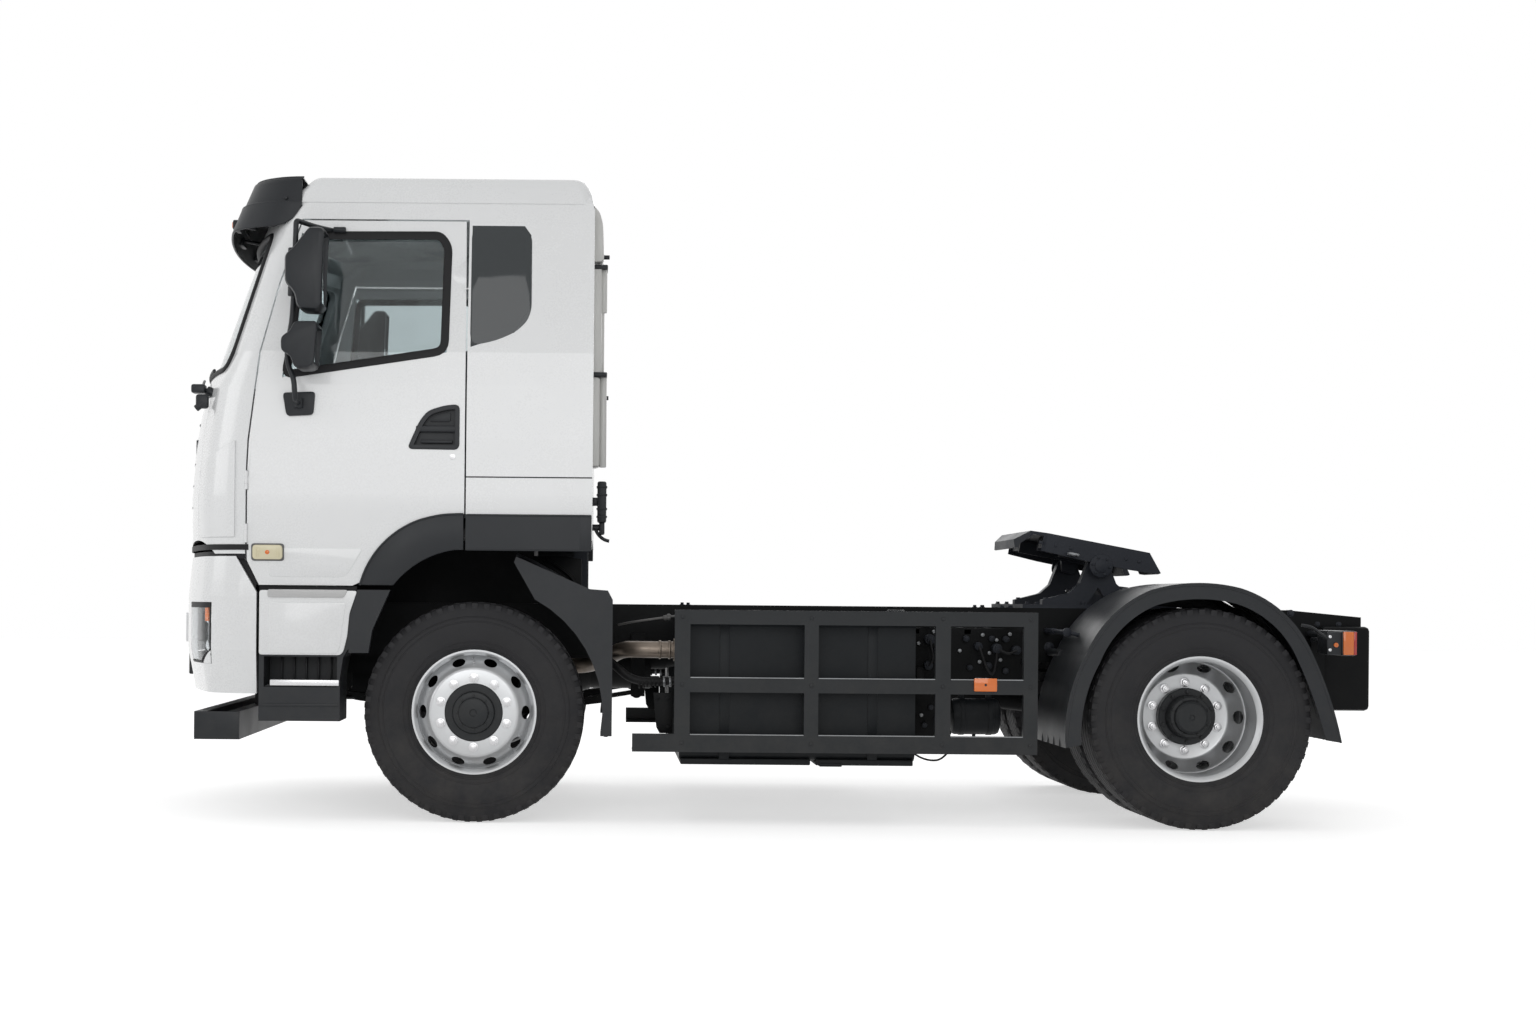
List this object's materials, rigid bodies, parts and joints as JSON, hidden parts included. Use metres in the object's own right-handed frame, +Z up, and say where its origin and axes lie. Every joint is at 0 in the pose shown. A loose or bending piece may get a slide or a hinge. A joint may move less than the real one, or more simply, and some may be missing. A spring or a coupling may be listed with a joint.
{
  "type": "two-axle tractor unit for semi-trailers",
  "caption": "Cab-over semi truck tractor unit: tilting sleeper cab with doors, ladder frame, steered front axle, twin-wheel rear axle and tilting fifth wheel.",
  "frame": {"origin": "on the ground, under the middle of the vehicle's length and width", "axes": "+X to the rear, +Y to the driver's right when facing forwards, +Z up"},
  "size_m": [6.16, 3.04, 3.1448],
  "materials": {
    "cab_paint": "gloss",
    "dark_plastic": "satin",
    "frame_paint": "satin",
    "wheel_silver": "satin",
    "tyre_rubber": "matte",
    "glass": "gloss",
    "cast_iron": "satin",
    "driveline": "matte",
    "pipe_steel": "satin",
    "cooler": "satin",
    "lamp_clear": "gloss",
    "lamp_amber": "gloss",
    "cab_trim": "matte",
    "seat_cloth": "matte"
  },
  "bodies": {
    "chassis": {"frame": "frame_paint", "front_axle_beam": "frame_paint", "front_springs": "frame_paint", "rear_axle": "frame_paint", "rear_springs": "frame_paint", "engine": "driveline", "gearbox": "driveline", "propshaft": "frame_paint", "radiator": "cooler", "bumper": "cab_paint", "headlamps": "lamp_clear", "underrun_bar": "frame_paint", "steps": "cab_paint", "front_wings": "dark_plastic", "side_guards": "frame_paint", "tanks": "frame_paint", "exhaust": "pipe_steel", "air_tank": "frame_paint", "rear_wings": "dark_plastic", "battery_box": "dark_plastic", "tail_lamps": "lamp_amber", "fifth_wheel_base": "cast_iron", "cab_mounts": "cast_iron"},
    "cab": {"cab_floor": "cab_trim", "cab_back": "cab_paint", "cab_sides": "cab_paint", "cab_roof": "cab_paint", "cab_front": "cab_paint", "windscreen": "glass", "quarter_windows": "dark_plastic", "side_trims": "dark_plastic", "sun_visor": "dark_plastic", "dashboard": "cab_trim", "steering_wheel": "cab_trim", "seats": "seat_cloth"},
    "service_flap": {"front_flap": "dark_plastic"},
    "coupling_plate": {"fifth_wheel_plate": "cast_iron"},
    "left_door": {"door_left": "cab_paint", "door_glass_left": "glass", "door_trim_left": "dark_plastic", "mirrors_left": "dark_plastic"},
    "left_knuckle": {"knuckle_left": "cast_iron"},
    "left_front_wheel": {"tyre_front_left": "tyre_rubber", "wheel_front_left": "wheel_silver"},
    "left_rear_wheels": {"tyres_rear_left": "tyre_rubber", "wheels_rear_left": "wheel_silver"},
    "right_door": {"door_right": "cab_paint", "door_glass_right": "glass", "door_trim_right": "dark_plastic", "mirrors_right": "dark_plastic"},
    "right_knuckle": {"knuckle_right": "cast_iron"},
    "right_front_wheel": {"tyre_front_right": "tyre_rubber", "wheel_front_right": "wheel_silver"},
    "right_rear_wheels": {"tyres_rear_right": "tyre_rubber", "wheels_rear_right": "wheel_silver"}
  },
  "joints": [
    {"name": "cab_tilt", "type": "hinge", "parent": "chassis", "child": "cab", "pos_m": [-2.92, 0, 1.18], "axis": [0, -1, 0], "range_deg": [0, 50]},
    {"name": "flap_lift", "type": "hinge", "parent": "cab", "child": "service_flap", "pos_m": [-3.012, 0, 2.07], "axis": [0, 1, 0], "range_deg": [0, 60]},
    {"name": "plate_tilt", "type": "hinge", "parent": "chassis", "child": "coupling_plate", "pos_m": [1.68, 0, 1.283], "axis": [0, -1, 0], "range_deg": [0, 25]},
    {"name": "left_door_hinge", "type": "hinge", "parent": "cab", "child": "left_door", "pos_m": [-2.616, -1.247, 1.6], "axis": [0, 0, -1], "range_deg": [0, 70]},
    {"name": "left_steer", "type": "hinge", "parent": "chassis", "child": "left_knuckle", "pos_m": [-1.52, -0.85, 0.535], "axis": [0, 0, 1], "range_deg": [-38, 38]},
    {"name": "left_front_spin", "type": "hinge", "parent": "left_knuckle", "child": "left_front_wheel", "pos_m": [-1.52, -1.02, 0.535], "axis": [0, 1, 0], "continuous": true},
    {"name": "left_rear_spin", "type": "hinge", "parent": "chassis", "child": "left_rear_wheels", "pos_m": [1.98, -0.93, 0.535], "axis": [0, 1, 0], "continuous": true},
    {"name": "right_door_hinge", "type": "hinge", "parent": "cab", "child": "right_door", "pos_m": [-2.616, 1.247, 1.6], "axis": [0, 0, 1], "range_deg": [0, 70]},
    {"name": "right_steer", "type": "hinge", "parent": "chassis", "child": "right_knuckle", "pos_m": [-1.52, 0.85, 0.535], "axis": [0, 0, 1], "range_deg": [-38, 38]},
    {"name": "right_front_spin", "type": "hinge", "parent": "right_knuckle", "child": "right_front_wheel", "pos_m": [-1.52, 1.02, 0.535], "axis": [0, 1, 0], "continuous": true},
    {"name": "right_rear_spin", "type": "hinge", "parent": "chassis", "child": "right_rear_wheels", "pos_m": [1.98, 0.93, 0.535], "axis": [0, 1, 0], "continuous": true}
  ],
  "couplings": [
    {"joint": "right_steer", "follows": "left_steer", "ratio": 1}
  ]
}
